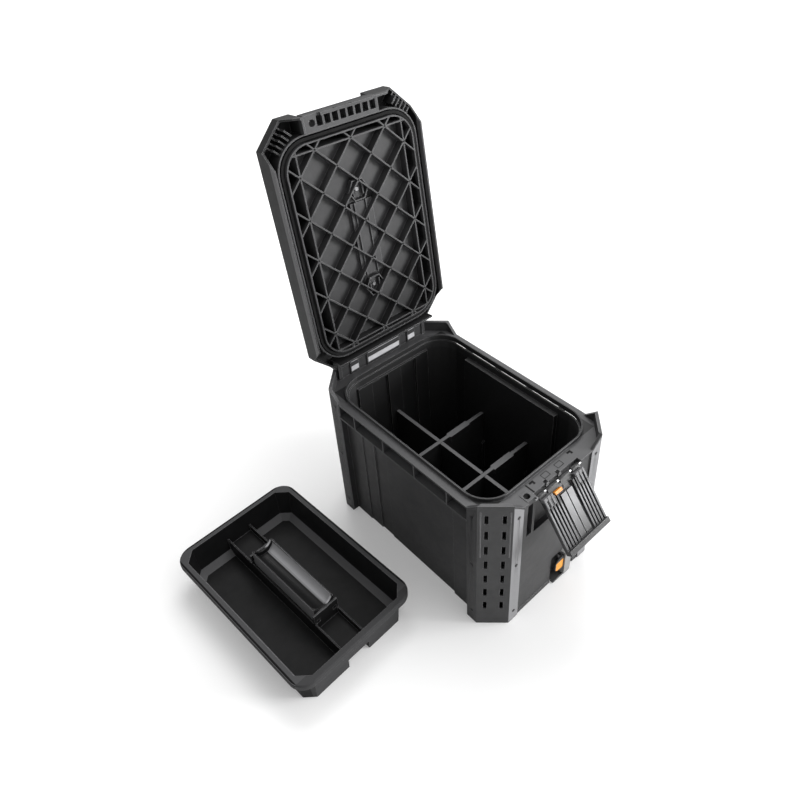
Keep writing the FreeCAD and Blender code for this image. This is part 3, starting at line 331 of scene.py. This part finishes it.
def plastic(name, dark, light, roughness, grain=2200.0, bump=0.12, edge_highlight=None, specular=0.5, zones=()):
    """Moulded plastic: mottled colour, fine grain, zones of other tones, most of them painted light and shade,
    and a painted highlight along sharp edges.
    """
    material, tree, shader = new_material(name)
    coords = own_coords(tree)
    colour = ramp(tree, noise(tree, coords, 38.0, 5.0, 0.6), 0.35, 0.7, dark, light)
    for mask, shade in zones:
        colour = mixed(tree, mask(tree), colour, tone(shade))
    # Painted highlight: sharp edges are made paler, as if their rounding caught the light.
    if edge_highlight:
        colour = mixed(tree, edge_mask(tree, EDGE_RADIUS), colour, edge_highlight)
    link(tree, colour, shader.inputs["Base Color"])
    link(tree, mapped(tree, noise(tree, coords, 95.0, 4.0), roughness - 0.06, roughness + 0.06),
         shader.inputs["Roughness"])
    node = tree.nodes.new("ShaderNodeBump")
    node.inputs["Strength"].default_value = bump
    node.inputs["Distance"].default_value = GRAIN_DEPTH
    link(tree, noise(tree, coords, grain, 2.0), node.inputs["Height"])
    link(tree, node.outputs["Normal"], shader.inputs["Normal"])
    shader.inputs["Specular IOR Level"].default_value = specular
    return material


def black(name, value, roughness, edge_highlight, specular, zones=()):
    """Black plastic of one brightness, with a painted highlight along its edges."""
    return plastic(name, tone(value * 0.86), tone(value * 1.14), roughness, edge_highlight=tone(edge_highlight), specular=specular,
                   zones=zones)


def metal(name, dark, light, roughness):
    """Plain metal with fine streaks along X."""
    material, tree, shader = new_material(name)
    stretch = tree.nodes.new("ShaderNodeMapping")
    stretch.inputs["Scale"].default_value = (0.1, 1.0, 1.0)
    link(tree, own_coords(tree), stretch.inputs["Vector"])
    streaks = noise(tree, stretch.outputs["Vector"], 1400.0, 3.0)
    link(tree, ramp(tree, streaks, 0.3, 0.7, dark, light), shader.inputs["Base Color"])
    link(tree, mapped(tree, streaks, roughness - 0.08, roughness + 0.08), shader.inputs["Roughness"])
    shader.inputs["Metallic"].default_value = 1.0
    return material


# Painted light and shade on the box: paler top faces as painted light, and darker walls, floor and lip inside it
# as painted shade.
SHELL_ZONES = ((top_faces(0.2), 0.088), (inside_tub, 0.016), (lip_slopes, 0.022))
# Painted light and shade on the lid: darker towards its hinge and in the deep gaps round its lattice as painted
# shade, paler left and right faces as painted light.
LID_ZONES = ((lid_rear, 0.026), (lid_sides, 0.13), (lid_gaps, 0.018))
# Painted light and shade on the tray: paler rim top, floor slopes and front as painted light, darker outer roll
# of the rim as painted shade.
TRAY_ZONES = ((top_faces(0.05), 0.065), (rim_outside, 0.003), (tray_slopes, 0.13), (tray_front, 0.045))
# Painted shade over the latch flap's paler tone: darker towards its finger lip, on its rib flanks and on its
# plate between the ribs; its knuckle end and finger lip are darker too.
LATCH_ZONES = ((flap_low, 0.04), (fin_flanks, 0.03), (flap_hollows, 0.02), (flap_ends, 0.022))

shell_black = black("shell_black", 0.042, 0.5, 0.26, 0.35, SHELL_ZONES)
lid_black = black("lid_black", 0.055, 0.52, 0.25, 0.3, LID_ZONES)
# The guards' faces that look to the front or the rear are paler: painted light.
guard_black = black("guard_black", 0.048, 0.5, 0.26, 0.35, ((front_faces, 0.23),))
# The dividers' top faces are paler: painted light from above.
divider_black = black("divider_black", 0.022, 0.5, 0.26, 0.3, ((top_faces(0.1), 0.13),))
tray_black = black("tray_black", 0.015, 0.5, 0.3, 0.12, TRAY_ZONES)
# A paler band inside the grip's hollow is a painted highlight.
grip_black = black("grip_black", 0.008, 0.45, 0.2, 0.2, ((trough_side, 0.45),))
latch_black = black("latch_black", 0.25, 0.45, 0.34, 0.4, LATCH_ZONES)
handle_black = black("handle_black", 0.045, 0.45, 0.12, 0.4)
prong_grey = black("prong_grey", 0.12, 0.45, 0.3, 0.4)
# Pale grey for the hinge lugs' faces: a painted highlight.
painted_hinge_highlight = black("painted_hinge_highlight", 0.55, 0.45, 0.4, 0.45)
seal_rubber = plastic("seal_rubber", tone(0.006), tone(0.01), 0.7, grain=900.0, bump=0.2, specular=0.15)
orange = plastic("lock_orange", (0.74, 0.25, 0.02), (0.84, 0.31, 0.03), 0.38, edge_highlight=(0.9, 0.45, 0.1))
tab_orange = plastic("tab_orange", (0.78, 0.3, 0.025), (0.86, 0.36, 0.04), 0.38, zones=((tab_surround, 0.015),))
grey = plastic("lever_grey", (0.24, 0.24, 0.237), (0.3, 0.3, 0.297), 0.42, edge_highlight=(0.5, 0.5, 0.5))
steel = metal("zinc_steel", (0.42, 0.42, 0.43), (0.62, 0.62, 0.63), 0.3)
screw_steel = metal("screw_steel", (0.16, 0.16, 0.165), (0.26, 0.26, 0.265), 0.5)
black_steel = metal("black_screw", (0.05, 0.05, 0.052), (0.1, 0.1, 0.102), 0.42)

FINISH = {
    shell_black: ("box_shell", "padlock_plate"),
    lid_black: ("lid_shell", "lid_catch_bar"),
    guard_black: ("corner_guard_front_left", "corner_guard_front_right", "corner_guard_rear_left",
                  "corner_guard_rear_right"),
    divider_black: ("long_divider", "cross_divider_front", "cross_divider_rear"),
    tray_black: ("tray_tub",),
    grip_black: ("tray_grip",),
    latch_black: ("latch_flap",),
    handle_black: ("carry_handle",),
    seal_rubber: ("lid_seal",),
    orange: ("latch_lock",),
    tab_orange: ("stack_lock_tab",),
    grey: ("stack_lock_lever",),
    steel: ("hinge_rod", "latch_pin", "stack_lock_pin", "stack_lock_spring", "handle_pins"),
    screw_steel: ("handle_screws",),
    black_steel: ("guard_screws",),
}
for material, names in FINISH.items():
    for name in names:
        for slot in nodes[name].material_slots:
            slot.material = material

# Small rounding on every edge of the solids

ROUNDING = 0.4 * MM
WELD_REACH = 2e-6
SHARP_ANGLE = 0.52


def round_edges(piece, width):
    """Welds the facets, then rounds the sharp edges."""
    weld = piece.modifiers.new("weld", "WELD")
    weld.merge_threshold = WELD_REACH
    bevel = piece.modifiers.new("bevel", "BEVEL")
    bevel.width = width
    bevel.segments = 2
    bevel.limit_method = "ANGLE"
    bevel.angle_limit = SHARP_ANGLE
    bevel.use_clamp_overlap = False
    bevel.harden_normals = True


for piece in nodes.values():
    round_edges(piece, ROUNDING)

# Small moulded details, drawn in millimetres with the lid and the latch closed


def swing(pivot, angle):
    """Turn about the X axis through a pivot."""
    there = Matrix.Translation(pivot)
    return there @ Matrix.Rotation(-angle, 4, "X") @ there.inverted()


LID_SWING = swing(LID_PIVOT, LID_OPEN)
LATCH_SWING = swing(LATCH_PIVOT, LATCH_OPEN)
STAY = Matrix.Identity(4)


def prism(points, low, high):
    """Upright prism on a polygon of (x, y) points."""
    count = len(points)
    places = [(x * MM, y * MM, z * MM) for z in (low, high) for x, y in points]
    sides = [(k, (k + 1) % count, (k + 1) % count + count, k + count) for k in range(count)]
    return places, [tuple(range(count))[::-1], tuple(range(count, 2 * count))] + sides


def bar(x0, x1, y0, y1, z0, z1):
    """Block between two corners."""
    return prism([(x0, y0), (x1, y0), (x1, y1), (x0, y1)], z0, z1)


def stud(x, y, radius, low, high, sides=10):
    """Short round stud."""
    turns = [2 * math.pi * k / sides for k in range(sides)]
    return prism([(x + radius * math.cos(a), y + radius * math.sin(a)) for a in turns], low, high)


def frame_bars(x, y, half_x, half_y, line, low, high):
    """Four bars round a rectangle."""
    inner_y = (y - half_y + line, y + half_y - line)
    return [bar(x - half_x, x + half_x, y - half_y, y - half_y + line, low, high),
            bar(x - half_x, x + half_x, y + half_y - line, y + half_y, low, high),
            bar(x - half_x, x - half_x + line, *inner_y, low, high),
            bar(x + half_x - line, x + half_x, *inner_y, low, high)]


def hexagon_bars(x, y, radius, line, low, high):
    """Six bars round a hexagon."""
    turns = [math.radians(60 * k) for k in range(7)]
    outer, inner = [[(x + r * math.cos(a), y + r * math.sin(a)) for a in turns] for r in (radius, radius - line)]
    return [prism([outer[k], outer[k + 1], inner[k + 1], inner[k]], low, high) for k in range(6)]


def detail(name, body, slot_name, material, shapes, place=STAY, rounding=0.15):
    """One visible piece from several drawn shapes, placed and fixed to a body."""
    points, faces = [], []
    for shape_points, shape_faces in shapes:
        start = len(points)
        points += shape_points
        faces += [tuple(start + k for k in face) for face in shape_faces]
    mesh = bpy.data.meshes.new(name)
    mesh.from_pydata([place @ Vector(point) for point in points], [], faces)
    mesh.update()
    mesh.materials.append(material)
    piece = bpy.data.objects.new(name, mesh)
    scene.collection.objects.link(piece)
    round_edges(piece, rounding * MM)
    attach(piece, body)


RIB_FACE = 259.5
CELL_X, CELL_Y = 30.75, 31.17
FIRST_RIB_Y = -153.9
DOT_R = 1.3
dots = [stud((i - 3) * CELL_X, CELL_Y * j + FIRST_RIB_Y, DOT_R, RIB_FACE - 0.4, RIB_FACE + 0.6)
        for i in range(7) for j in range(11) if (i + j) % 2]
detail("lid_rib_dots", "lid", "seal_rubber", seal_rubber, dots, LID_SWING)

DECK = 256.4
ROOT = DECK - 0.5
SQUARES_AT = ((-10.0, -181.5), (19.0, -182.0))
SQUARE_HALF = (6.5, 4.6)
SQUARE_LINE = 0.6
squares = []
for place in SQUARES_AT:
    squares += frame_bars(*place, *SQUARE_HALF, SQUARE_LINE, ROOT, DECK + 0.3)
detail("deck_squares", "box", "seal_rubber", seal_rubber, squares, rounding=0.1)

# Near-black sheets barely proud of the deck paint the shade in a groove and in two notches.
NOTCH_TOP = DECK + 0.12
GROOVE_X, GROOVE_Y = (-46.0, -43.6), (-191.5, -174.5)
NOTCHES_X = (-35.0, 47.6)
NOTCH_HALF_X = 4.2
NOTCH_Y = (-178.4, -175.2)
NOTCH_FOOT_X = 0.6
NOTCH_FOOT_Y = (-182.0, -178.6)
notches = [bar(*GROOVE_X, *GROOVE_Y, ROOT, NOTCH_TOP)]
for x in NOTCHES_X:
    notches.append(bar(x - NOTCH_HALF_X, x + NOTCH_HALF_X, *NOTCH_Y, ROOT, NOTCH_TOP))
    notches.append(bar(x + NOTCH_FOOT_X, x + NOTCH_HALF_X, *NOTCH_FOOT_Y, ROOT, NOTCH_TOP))
detail("deck_notches", "box", "seal_rubber", seal_rubber, notches, rounding=0.05)

PRONGS_X = (27.5, 34.5, 41.5)
PRONG_HALF_X = 1.7
PRONG_Y, PRONG_Z = (-207.4, -200.0), (229.0, 244.5)
PRONG_BAR_X = (24.5, 43.6)
PRONG_BAR_Y, PRONG_BAR_Z = (-206.4, -200.0), (239.5, 244.8)
prongs = [bar(side * x - PRONG_HALF_X, side * x + PRONG_HALF_X, *PRONG_Y, *PRONG_Z)
          for side in (-1, 1) for x in PRONGS_X]
prongs += [bar(*sorted(side * x for x in PRONG_BAR_X), *PRONG_BAR_Y, *PRONG_BAR_Z) for side in (-1, 1)]
detail("latch_prongs", "latch", "latch_plastic", prong_grey, prongs, LATCH_SWING, rounding=0.3)

# Thin pale grey sheets on the hinge lugs' faces and barrels: a painted highlight on the glossy black lugs.
LUGS_X = ((-68.5, -53.5), (-33.5, 33.5), (53.5, 68.5))
LUG_FACE_Y, LUG_FACE_Z = (187.05, 188.2), (262.0, 271.5)
LUG_BARREL_Y, LUG_BARREL_Z = (187.05, 188.6), (280.5, 287.0)
LUG_INSET = 1.0
lug_faces = []
for x0, x1 in LUGS_X:
    lug_faces.append(bar(x0, x1, *LUG_FACE_Y, *LUG_FACE_Z))
    lug_faces.append(bar(x0 + LUG_INSET, x1 - LUG_INSET, *LUG_BARREL_Y, *LUG_BARREL_Z))
detail("hinge_lug_highlights", "box", "black_plastic", painted_hinge_highlight, lug_faces, rounding=0.3)

PADS_Y = (-76.0, 82.0)
PAD_ROOT = 271.5
PAD_RIM_R, PAD_RIM_LINE, PAD_RIM_LOW = 18.5, 2.2, 264.0
PAD_RAIL_X, PAD_RAIL_HALF_Y, PAD_RAIL_LOW = (7.5, 9.5), 9.0, 265.5
STRIP_X, STRIP_HALF_X = 10.5, 0.9
STRIP_Y, STRIP_Z = (-57.0, 62.0), (266.0, 274.5)
pad_rims = []
for y in PADS_Y:
    pad_rims += hexagon_bars(0.0, y, PAD_RIM_R, PAD_RIM_LINE, PAD_RIM_LOW, PAD_ROOT)
    pad_rims += [bar(*sorted(side * x for x in PAD_RAIL_X), y - PAD_RAIL_HALF_Y, y + PAD_RAIL_HALF_Y,
                     PAD_RAIL_LOW, PAD_ROOT) for side in (-1, 1)]
pad_rims += [bar(side * STRIP_X - STRIP_HALF_X, side * STRIP_X + STRIP_HALF_X, *STRIP_Y, *STRIP_Z)
             for side in (-1, 1)]
detail("lid_pad_rims", "lid", "black_plastic", lid_black, pad_rims, LID_SWING, rounding=0.3)

# Near-black bars and a disc paint the shade in two slots on each pad and in an empty screw hole between the
# pads.
SLOTS_X = (-4.8, 12.2)
SLOT_HALF = (1.6, 7.5)
SLOT_LOW = 270.0
MIDDLE_HOLE_Y, MIDDLE_HOLE_R = 2.0, 2.4
slots = [bar(x - SLOT_HALF[0], x + SLOT_HALF[0], y - SLOT_HALF[1], y + SLOT_HALF[1], SLOT_LOW, PAD_ROOT)
         for x in SLOTS_X for y in PADS_Y]
slots.append(stud(0.0, MIDDLE_HOLE_Y, MIDDLE_HOLE_R, SLOT_LOW, PAD_ROOT))
detail("lid_pad_slots", "lid", "seal_rubber", seal_rubber, slots, LID_SWING, rounding=0.1)

# Camera at the photograph's viewpoint

CAMERA_AT = Vector((-0.5695, -0.5949, 1.0238))
AZIMUTH, ELEVATION = math.radians(-44.82), math.radians(37.68)
back = Vector((math.sin(AZIMUTH) * math.cos(ELEVATION), -math.cos(AZIMUTH) * math.cos(ELEVATION),
               math.sin(ELEVATION)))
camera = bpy.data.objects.new("camera", bpy.data.cameras.new("camera"))
camera.data.sensor_width = 36.0
camera.data.lens = 32.30
camera.data.shift_x = -0.0883
camera.data.shift_y = -0.0721
camera.data.clip_start, camera.data.clip_end = 0.01, 50.0
camera.location = CAMERA_AT
camera.rotation_mode = "QUATERNION"
camera.rotation_quaternion = (-back).to_track_quat("-Z", "Y")
scene.collection.objects.link(camera)
scene.camera = camera

# Light, floor and background

AMBIENT = 0.42
FLOOR_RADIUS = 9.0
FLOOR_DROP = 0.0004
FLOOR_SHADE = 0.8
GLOW_REACH = (0.35, 1.1)
GLOW = (0.2, 0.6)
WHITE = (1, 1, 1, 1)


def lamp_object(name, lamp, turn):
    """Lamp in the scene, turned as asked."""
    thing = bpy.data.objects.new(name, lamp)
    thing.rotation_mode = "QUATERNION"
    thing.rotation_quaternion = turn
    scene.collection.objects.link(thing)
    return thing


def area_light(name, place, target, size, power):
    """Square soft box."""
    lamp = bpy.data.lights.new(name, "AREA")
    lamp.shape = "SQUARE"
    lamp.size = size
    lamp.energy = power
    aim = Vector(target) - Vector(place)
    lamp_object(name, lamp, aim.to_track_quat("-Z", "Y")).location = Vector(place)


def sun(name, towards, strength, softness):
    """Far soft light from a direction."""
    lamp = bpy.data.lights.new(name, "SUN")
    lamp.energy = strength
    lamp.angle = softness
    lamp_object(name, lamp, Vector(towards).to_track_quat("Z", "Y"))


sun("key", (0.5, -0.5, 0.7), 1.3, 1.2)
area_light("front", (1.9, -2.0, 0.8), (0.0, 0.1, 0.35), 1.1, 75.0)
area_light("rear_top", (0.7, 0.8, 2.2), (0.0, -0.05, 0.2), 1.4, 30.0)


def seen_by_camera(tree):
    """1 for what the camera sees straight, and 0 for light that falls on things."""
    return tree.nodes.new("ShaderNodeLightPath").outputs["Is Camera Ray"]


world = bpy.data.worlds.new("studio")
scene.world = world
world.use_nodes = True
tree = world.node_tree
ambient = tree.nodes["Background"]
ambient.inputs["Color"].default_value = WHITE
ambient.inputs["Strength"].default_value = AMBIENT
white = tree.nodes.new("ShaderNodeBackground")
white.inputs["Color"].default_value = WHITE
white.inputs["Strength"].default_value = 1.0
pick = tree.nodes.new("ShaderNodeMixShader")
link(tree, seen_by_camera(tree), pick.inputs["Fac"])
link(tree, ambient.outputs["Background"], pick.inputs[1])
link(tree, white.outputs["Background"], pick.inputs[2])
link(tree, pick.outputs["Shader"], tree.nodes["World Output"].inputs["Surface"])

floor_mesh = bpy.data.meshes.new("floor")
bm = bmesh.new()
bmesh.ops.create_circle(bm, cap_ends=True, segments=96, radius=FLOOR_RADIUS)
bm.to_mesh(floor_mesh)
bm.free()
floor = bpy.data.objects.new("floor", floor_mesh)
floor.location.z = -FLOOR_DROP
scene.collection.objects.link(floor)
floor_material, tree, shader = new_material("pale_floor")
shader.inputs["Base Color"].default_value = (FLOOR_SHADE, FLOOR_SHADE, FLOOR_SHADE, 1)
shader.inputs["Roughness"].default_value = 0.9
shader.inputs["Specular IOR Level"].default_value = 0.0
glow = tree.nodes.new("ShaderNodeEmission")
reach = tree.nodes.new("ShaderNodeVectorMath")
reach.operation = "LENGTH"
link(tree, own_coords(tree), reach.inputs[0])
far_glow = mapped(tree, between(tree, reach.outputs["Value"], *GLOW_REACH), *GLOW)
link(tree, combine(tree, "MULTIPLY", seen_by_camera(tree), far_glow), glow.inputs["Strength"])
both = tree.nodes.new("ShaderNodeAddShader")
link(tree, shader.outputs["BSDF"], both.inputs[0])
link(tree, glow.outputs["Emission"], both.inputs[1])
link(tree, both.outputs["Shader"], tree.nodes["Material Output"].inputs["Surface"])
floor_mesh.materials.append(floor_material)

scene.view_settings.view_transform = "Standard"

bpy.context.view_layer.update()
